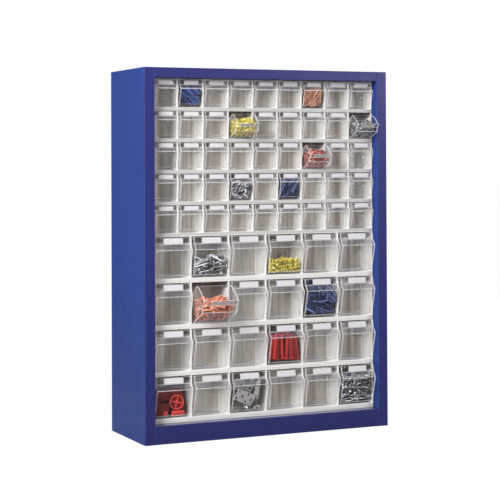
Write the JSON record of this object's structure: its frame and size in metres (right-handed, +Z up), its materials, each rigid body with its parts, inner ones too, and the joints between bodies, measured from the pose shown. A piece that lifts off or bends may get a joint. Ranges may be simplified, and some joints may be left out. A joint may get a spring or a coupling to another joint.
{
  "type": "small parts storage cabinet",
  "caption": "Wall or bench cabinet in folded sheet steel holding stacked rows of clear tilt-out bins with label cards, hinged at their lower front edges.",
  "frame": {"origin": "centre of the cabinet base on the floor, between front plane and back plane and between the side walls", "axes": "+Z up, -Y towards the open front, +X to the right as seen from the front"},
  "size_m": [0.66, 0.2979, 0.91],
  "materials": {
    "blue_enamel": "satin powder coat",
    "white_moulding": "satin moulded plastic",
    "clear_plastic": "clear, polished",
    "zinc_steel": "zinc plated",
    "nylon": "natural nylon"
  },
  "bodies": {
    "cabinet": {"back_panel": "blue_enamel", "bottom_panel": "blue_enamel", "large_module_housings": "white_moulding", "left_side_panel": "blue_enamel", "module_screws": "zinc_steel", "module_spacer_washers": "nylon", "right_side_panel": "blue_enamel", "small_module_housings": "white_moulding", "top_panel": "blue_enamel"},
    "large_bin_r6c1": {"large_bin_r6c1": "clear_plastic"},
    "large_bin_r6c2": {"large_bin_r6c2": "clear_plastic"},
    "large_bin_r6c3": {"large_bin_r6c3": "clear_plastic"},
    "large_bin_r6c4": {"large_bin_r6c4": "clear_plastic"},
    "large_bin_r6c5": {"large_bin_r6c5": "clear_plastic"},
    "large_bin_r6c6": {"large_bin_r6c6": "clear_plastic"},
    "large_bin_r7c1": {"large_bin_r7c1": "clear_plastic"},
    "large_bin_r7c2": {"large_bin_r7c2": "clear_plastic"},
    "large_bin_r7c3": {"large_bin_r7c3": "clear_plastic"},
    "large_bin_r7c4": {"large_bin_r7c4": "clear_plastic"},
    "large_bin_r7c5": {"large_bin_r7c5": "clear_plastic"},
    "large_bin_r7c6": {"large_bin_r7c6": "clear_plastic"},
    "large_bin_r8c1": {"large_bin_r8c1": "clear_plastic"},
    "large_bin_r8c2": {"large_bin_r8c2": "clear_plastic"},
    "large_bin_r8c3": {"large_bin_r8c3": "clear_plastic"},
    "large_bin_r8c4": {"large_bin_r8c4": "clear_plastic"},
    "large_bin_r8c5": {"large_bin_r8c5": "clear_plastic"},
    "large_bin_r8c6": {"large_bin_r8c6": "clear_plastic"},
    "large_bin_r9c1": {"large_bin_r9c1": "clear_plastic"},
    "large_bin_r9c2": {"large_bin_r9c2": "clear_plastic"},
    "large_bin_r9c3": {"large_bin_r9c3": "clear_plastic"},
    "large_bin_r9c4": {"large_bin_r9c4": "clear_plastic"},
    "large_bin_r9c5": {"large_bin_r9c5": "clear_plastic"},
    "large_bin_r9c6": {"large_bin_r9c6": "clear_plastic"},
    "small_bin_r1c1": {"small_bin_r1c1": "clear_plastic"},
    "small_bin_r1c2": {"small_bin_r1c2": "clear_plastic"},
    "small_bin_r1c3": {"small_bin_r1c3": "clear_plastic"},
    "small_bin_r1c4": {"small_bin_r1c4": "clear_plastic"},
    "small_bin_r1c5": {"small_bin_r1c5": "clear_plastic"},
    "small_bin_r1c6": {"small_bin_r1c6": "clear_plastic"},
    "small_bin_r1c7": {"small_bin_r1c7": "clear_plastic"},
    "small_bin_r1c8": {"small_bin_r1c8": "clear_plastic"},
    "small_bin_r1c9": {"small_bin_r1c9": "clear_plastic"},
    "small_bin_r2c1": {"small_bin_r2c1": "clear_plastic"},
    "small_bin_r2c2": {"small_bin_r2c2": "clear_plastic"},
    "small_bin_r2c3": {"small_bin_r2c3": "clear_plastic"},
    "small_bin_r2c4": {"small_bin_r2c4": "clear_plastic"},
    "small_bin_r2c5": {"small_bin_r2c5": "clear_plastic"},
    "small_bin_r2c6": {"small_bin_r2c6": "clear_plastic"},
    "small_bin_r2c7": {"small_bin_r2c7": "clear_plastic"},
    "small_bin_r2c8": {"small_bin_r2c8": "clear_plastic"},
    "small_bin_r2c9": {"small_bin_r2c9": "clear_plastic"},
    "small_bin_r3c7": {"small_bin_r3c7": "clear_plastic"},
    "small_bin_r4c4": {"small_bin_r4c4": "clear_plastic"},
    "small_bin_r4c5": {"small_bin_r4c5": "clear_plastic"},
    "small_bin_r4c6": {"small_bin_r4c6": "clear_plastic"},
    "small_bins_r3c1_to_c6": {"small_bins_r3c1_to_c6": "clear_plastic"},
    "small_bins_r3c8_to_c9": {"small_bins_r3c8_to_c9": "clear_plastic"},
    "small_bins_r4c1_to_c3": {"small_bins_r4c1_to_c3": "clear_plastic"},
    "small_bins_r4c7_to_c9": {"small_bins_r4c7_to_c9": "clear_plastic"},
    "small_bins_r5c1_to_c9": {"small_bins_r5c1_to_c9": "clear_plastic"}
  },
  "joints": [
    {"name": "tilt_large_bin_r6c1", "type": "hinge", "parent": "cabinet", "child": "large_bin_r6c1", "pos_m": [-0.25062, -0.0955, 0.4027], "axis": [1, 0, 0], "range_deg": [0, 48]},
    {"name": "tilt_large_bin_r6c2", "type": "hinge", "parent": "cabinet", "child": "large_bin_r6c2", "pos_m": [-0.15038, -0.0955, 0.4027], "axis": [1, 0, 0], "range_deg": [0, 48]},
    {"name": "tilt_large_bin_r6c3", "type": "hinge", "parent": "cabinet", "child": "large_bin_r6c3", "pos_m": [-0.05013, -0.0955, 0.4027], "axis": [1, 0, 0], "range_deg": [0, 48]},
    {"name": "tilt_large_bin_r6c4", "type": "hinge", "parent": "cabinet", "child": "large_bin_r6c4", "pos_m": [0.05013, -0.0955, 0.4027], "axis": [1, 0, 0], "range_deg": [0, 48]},
    {"name": "tilt_large_bin_r6c5", "type": "hinge", "parent": "cabinet", "child": "large_bin_r6c5", "pos_m": [0.15038, -0.0955, 0.4027], "axis": [1, 0, 0], "range_deg": [0, 48]},
    {"name": "tilt_large_bin_r6c6", "type": "hinge", "parent": "cabinet", "child": "large_bin_r6c6", "pos_m": [0.25062, -0.0955, 0.4027], "axis": [1, 0, 0], "range_deg": [0, 48]},
    {"name": "tilt_large_bin_r7c1", "type": "hinge", "parent": "cabinet", "child": "large_bin_r7c1", "pos_m": [-0.25062, -0.0955, 0.2897], "axis": [1, 0, 0], "range_deg": [0, 48]},
    {"name": "tilt_large_bin_r7c2", "type": "hinge", "parent": "cabinet", "child": "large_bin_r7c2", "pos_m": [-0.15038, -0.0955, 0.2897], "axis": [1, 0, 0], "range_deg": [-48, 0]},
    {"name": "tilt_large_bin_r7c3", "type": "hinge", "parent": "cabinet", "child": "large_bin_r7c3", "pos_m": [-0.05013, -0.0955, 0.2897], "axis": [1, 0, 0], "range_deg": [0, 48]},
    {"name": "tilt_large_bin_r7c4", "type": "hinge", "parent": "cabinet", "child": "large_bin_r7c4", "pos_m": [0.05013, -0.0955, 0.2897], "axis": [1, 0, 0], "range_deg": [0, 48]},
    {"name": "tilt_large_bin_r7c5", "type": "hinge", "parent": "cabinet", "child": "large_bin_r7c5", "pos_m": [0.15038, -0.0955, 0.2897], "axis": [1, 0, 0], "range_deg": [0, 48]},
    {"name": "tilt_large_bin_r7c6", "type": "hinge", "parent": "cabinet", "child": "large_bin_r7c6", "pos_m": [0.25062, -0.0955, 0.2897], "axis": [1, 0, 0], "range_deg": [0, 48]},
    {"name": "tilt_large_bin_r8c1", "type": "hinge", "parent": "cabinet", "child": "large_bin_r8c1", "pos_m": [-0.25062, -0.0955, 0.1767], "axis": [1, 0, 0], "range_deg": [0, 48]},
    {"name": "tilt_large_bin_r8c2", "type": "hinge", "parent": "cabinet", "child": "large_bin_r8c2", "pos_m": [-0.15038, -0.0955, 0.1767], "axis": [1, 0, 0], "range_deg": [0, 48]},
    {"name": "tilt_large_bin_r8c3", "type": "hinge", "parent": "cabinet", "child": "large_bin_r8c3", "pos_m": [-0.05013, -0.0955, 0.1767], "axis": [1, 0, 0], "range_deg": [0, 48]},
    {"name": "tilt_large_bin_r8c4", "type": "hinge", "parent": "cabinet", "child": "large_bin_r8c4", "pos_m": [0.05013, -0.0955, 0.1767], "axis": [1, 0, 0], "range_deg": [0, 48]},
    {"name": "tilt_large_bin_r8c5", "type": "hinge", "parent": "cabinet", "child": "large_bin_r8c5", "pos_m": [0.15038, -0.0955, 0.1767], "axis": [1, 0, 0], "range_deg": [0, 48]},
    {"name": "tilt_large_bin_r8c6", "type": "hinge", "parent": "cabinet", "child": "large_bin_r8c6", "pos_m": [0.25062, -0.0955, 0.1767], "axis": [1, 0, 0], "range_deg": [0, 48]},
    {"name": "tilt_large_bin_r9c1", "type": "hinge", "parent": "cabinet", "child": "large_bin_r9c1", "pos_m": [-0.25062, -0.0955, 0.0637], "axis": [1, 0, 0], "range_deg": [0, 48]},
    {"name": "tilt_large_bin_r9c2", "type": "hinge", "parent": "cabinet", "child": "large_bin_r9c2", "pos_m": [-0.15038, -0.0955, 0.0637], "axis": [1, 0, 0], "range_deg": [0, 48]},
    {"name": "tilt_large_bin_r9c3", "type": "hinge", "parent": "cabinet", "child": "large_bin_r9c3", "pos_m": [-0.05013, -0.0955, 0.0637], "axis": [1, 0, 0], "range_deg": [0, 48]},
    {"name": "tilt_large_bin_r9c4", "type": "hinge", "parent": "cabinet", "child": "large_bin_r9c4", "pos_m": [0.05013, -0.0955, 0.0637], "axis": [1, 0, 0], "range_deg": [0, 48]},
    {"name": "tilt_large_bin_r9c5", "type": "hinge", "parent": "cabinet", "child": "large_bin_r9c5", "pos_m": [0.15038, -0.0955, 0.0637], "axis": [1, 0, 0], "range_deg": [0, 48]},
    {"name": "tilt_large_bin_r9c6", "type": "hinge", "parent": "cabinet", "child": "large_bin_r9c6", "pos_m": [0.25062, -0.0955, 0.0637], "axis": [1, 0, 0], "range_deg": [0, 48]},
    {"name": "tilt_small_bin_r1c1", "type": "hinge", "parent": "cabinet", "child": "small_bin_r1c1", "pos_m": [-0.26711, -0.094, 0.821], "axis": [1, 0, 0], "range_deg": [0, 51]},
    {"name": "tilt_small_bin_r1c2", "type": "hinge", "parent": "cabinet", "child": "small_bin_r1c2", "pos_m": [-0.20033, -0.094, 0.821], "axis": [1, 0, 0], "range_deg": [0, 51]},
    {"name": "tilt_small_bin_r1c3", "type": "hinge", "parent": "cabinet", "child": "small_bin_r1c3", "pos_m": [-0.13356, -0.094, 0.821], "axis": [1, 0, 0], "range_deg": [0, 51]},
    {"name": "tilt_small_bin_r1c4", "type": "hinge", "parent": "cabinet", "child": "small_bin_r1c4", "pos_m": [-0.06678, -0.094, 0.821], "axis": [1, 0, 0], "range_deg": [0, 51]},
    {"name": "tilt_small_bin_r1c5", "type": "hinge", "parent": "cabinet", "child": "small_bin_r1c5", "pos_m": [0, -0.094, 0.821], "axis": [1, 0, 0], "range_deg": [0, 51]},
    {"name": "tilt_small_bin_r1c6", "type": "hinge", "parent": "cabinet", "child": "small_bin_r1c6", "pos_m": [0.06678, -0.094, 0.821], "axis": [1, 0, 0], "range_deg": [0, 51]},
    {"name": "tilt_small_bin_r1c7", "type": "hinge", "parent": "cabinet", "child": "small_bin_r1c7", "pos_m": [0.13356, -0.094, 0.821], "axis": [1, 0, 0], "range_deg": [0, 51]},
    {"name": "tilt_small_bin_r1c8", "type": "hinge", "parent": "cabinet", "child": "small_bin_r1c8", "pos_m": [0.20033, -0.094, 0.821], "axis": [1, 0, 0], "range_deg": [0, 51]},
    {"name": "tilt_small_bin_r1c9", "type": "hinge", "parent": "cabinet", "child": "small_bin_r1c9", "pos_m": [0.26711, -0.094, 0.821], "axis": [1, 0, 0], "range_deg": [0, 51]},
    {"name": "tilt_small_bin_r2c1", "type": "hinge", "parent": "cabinet", "child": "small_bin_r2c1", "pos_m": [-0.26711, -0.094, 0.744], "axis": [1, 0, 0], "range_deg": [0, 51]},
    {"name": "tilt_small_bin_r2c2", "type": "hinge", "parent": "cabinet", "child": "small_bin_r2c2", "pos_m": [-0.20033, -0.094, 0.744], "axis": [1, 0, 0], "range_deg": [0, 51]},
    {"name": "tilt_small_bin_r2c3", "type": "hinge", "parent": "cabinet", "child": "small_bin_r2c3", "pos_m": [-0.13356, -0.094, 0.744], "axis": [1, 0, 0], "range_deg": [0, 51]},
    {"name": "tilt_small_bin_r2c4", "type": "hinge", "parent": "cabinet", "child": "small_bin_r2c4", "pos_m": [-0.06678, -0.094, 0.744], "axis": [1, 0, 0], "range_deg": [-51, 0]},
    {"name": "tilt_small_bin_r2c5", "type": "hinge", "parent": "cabinet", "child": "small_bin_r2c5", "pos_m": [0, -0.094, 0.744], "axis": [1, 0, 0], "range_deg": [0, 51]},
    {"name": "tilt_small_bin_r2c6", "type": "hinge", "parent": "cabinet", "child": "small_bin_r2c6", "pos_m": [0.06678, -0.094, 0.744], "axis": [1, 0, 0], "range_deg": [0, 51]},
    {"name": "tilt_small_bin_r2c7", "type": "hinge", "parent": "cabinet", "child": "small_bin_r2c7", "pos_m": [0.13356, -0.094, 0.744], "axis": [1, 0, 0], "range_deg": [0, 51]},
    {"name": "tilt_small_bin_r2c8", "type": "hinge", "parent": "cabinet", "child": "small_bin_r2c8", "pos_m": [0.20033, -0.094, 0.744], "axis": [1, 0, 0], "range_deg": [0, 51]},
    {"name": "tilt_small_bin_r2c9", "type": "hinge", "parent": "cabinet", "child": "small_bin_r2c9", "pos_m": [0.26711, -0.094, 0.744], "axis": [1, 0, 0], "range_deg": [-51, 0]},
    {"name": "tilt_small_bin_r3c7", "type": "hinge", "parent": "cabinet", "child": "small_bin_r3c7", "pos_m": [0.13356, -0.094, 0.667], "axis": [1, 0, 0], "range_deg": [-51, 0]},
    {"name": "tilt_small_bin_r4c4", "type": "hinge", "parent": "cabinet", "child": "small_bin_r4c4", "pos_m": [-0.06678, -0.094, 0.59], "axis": [1, 0, 0], "range_deg": [0, 51]},
    {"name": "tilt_small_bin_r4c5", "type": "hinge", "parent": "cabinet", "child": "small_bin_r4c5", "pos_m": [0, -0.094, 0.59], "axis": [1, 0, 0], "range_deg": [0, 51]},
    {"name": "tilt_small_bin_r4c6", "type": "hinge", "parent": "cabinet", "child": "small_bin_r4c6", "pos_m": [0.06678, -0.094, 0.59], "axis": [1, 0, 0], "range_deg": [0, 51]},
    {"name": "tilt_small_bins_r3c1_to_c6", "type": "hinge", "parent": "cabinet", "child": "small_bins_r3c1_to_c6", "pos_m": [-0.10017, -0.094, 0.667], "axis": [1, 0, 0], "range_deg": [0, 51]},
    {"name": "tilt_small_bins_r3c8_to_c9", "type": "hinge", "parent": "cabinet", "child": "small_bins_r3c8_to_c9", "pos_m": [0.23372, -0.094, 0.667], "axis": [1, 0, 0], "range_deg": [0, 51]},
    {"name": "tilt_small_bins_r4c1_to_c3", "type": "hinge", "parent": "cabinet", "child": "small_bins_r4c1_to_c3", "pos_m": [-0.20033, -0.094, 0.59], "axis": [1, 0, 0], "range_deg": [0, 51]},
    {"name": "tilt_small_bins_r4c7_to_c9", "type": "hinge", "parent": "cabinet", "child": "small_bins_r4c7_to_c9", "pos_m": [0.20033, -0.094, 0.59], "axis": [1, 0, 0], "range_deg": [0, 51]},
    {"name": "tilt_small_bins_r5c1_to_c9", "type": "hinge", "parent": "cabinet", "child": "small_bins_r5c1_to_c9", "pos_m": [0, -0.094, 0.513], "axis": [1, 0, 0], "range_deg": [0, 51]}
  ]
}
